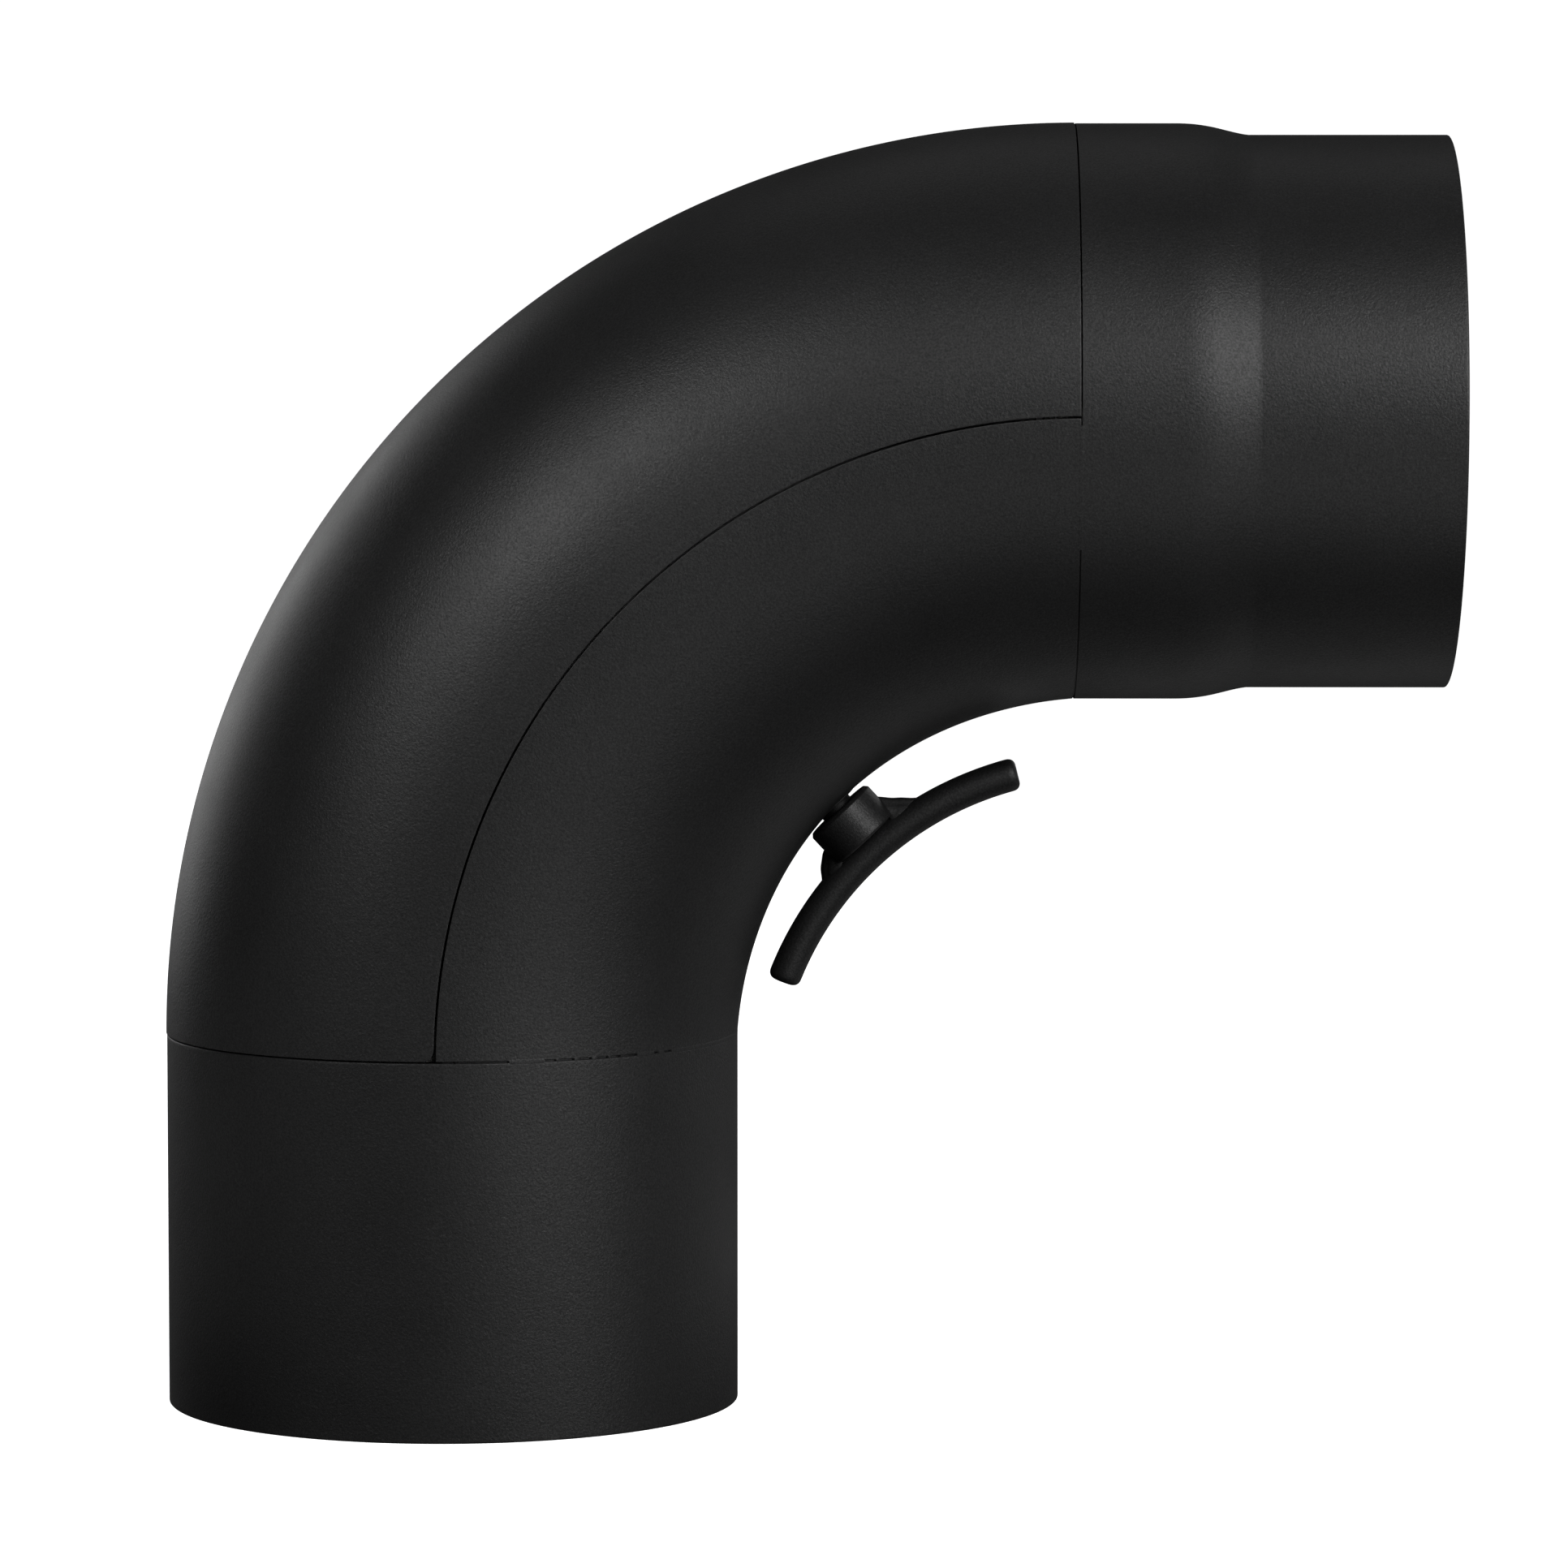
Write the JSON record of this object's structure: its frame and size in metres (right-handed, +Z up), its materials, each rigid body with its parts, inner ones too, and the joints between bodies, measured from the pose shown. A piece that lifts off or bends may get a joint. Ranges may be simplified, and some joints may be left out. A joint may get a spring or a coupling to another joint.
{
  "type": "flue elbow with removable cleaning cover",
  "caption": "Right-angle stove pipe elbow with a plain socket, a reduced spigot, a lift-off outer half for cleaning and a screw handle in the throat.",
  "frame": {"origin": "centre of the inlet pipe's open rim", "axes": "+Z up along the inlet pipe towards the bend, +X out along the outlet spigot, -Y towards the viewer"},
  "size_m": [0.3352, 0.15, 0.3352],
  "materials": {
    "heat_paint": "matt black heat-resistant paint with a fine grain",
    "inside_paint": "thin matt black overspray",
    "bare_steel": "turned steel",
    "zinc_steel": "dull zinc plate",
    "glass_tape": "woven black glass-fibre tape"
  },
  "bodies": {
    "elbow": {"inlet_pipe": "heat_paint", "outlet_pipe": "heat_paint", "inner_bend_shell": "heat_paint", "inlet_girth_weld": "heat_paint", "outlet_girth_weld": "heat_paint", "rod_guide_bush": "bare_steel", "front_seat_rail": "inside_paint", "rear_seat_rail": "inside_paint", "inlet_seat_strip": "inside_paint", "outlet_seat_strip": "inside_paint", "front_gasket": "glass_tape", "rear_gasket": "glass_tape", "inlet_gasket": "glass_tape", "outlet_gasket": "glass_tape"},
    "cleaning_cover": {"outer_bend_shell": "heat_paint", "door_bridge": "inside_paint", "front_bridge_weld": "inside_paint", "rear_bridge_weld": "inside_paint", "tie_rod": "zinc_steel", "inner_lock_nut": "zinc_steel", "spring_washer": "bare_steel", "outer_lock_nut": "zinc_steel"},
    "hub_ring": {"shim_ring": "bare_steel"},
    "handle": {"handle_hub": "heat_paint", "handle_bar": "heat_paint", "handle_weld_left": "heat_paint", "handle_weld_right": "heat_paint"}
  },
  "joints": [
    {"name": "cover_lift", "type": "slide", "parent": "elbow", "child": "cleaning_cover", "axis": [-0.6845, 0, 0.729], "range_m": [0, 0.25]},
    {"name": "handle_travel", "type": "slide", "parent": "elbow", "child": "hub_ring", "axis": [0.6845, 0, -0.729], "range_m": [0, 0.00796]},
    {"name": "handle_turn", "type": "hinge", "parent": "hub_ring", "child": "handle", "pos_m": [0.10516, 0, 0.15159], "axis": [0.6845, 0, -0.729], "range_deg": [0, 2290]}
  ],
  "couplings": [
    {"joint": "handle_travel", "follows": "handle_turn", "m_per_rad": 0.00019894}
  ]
}
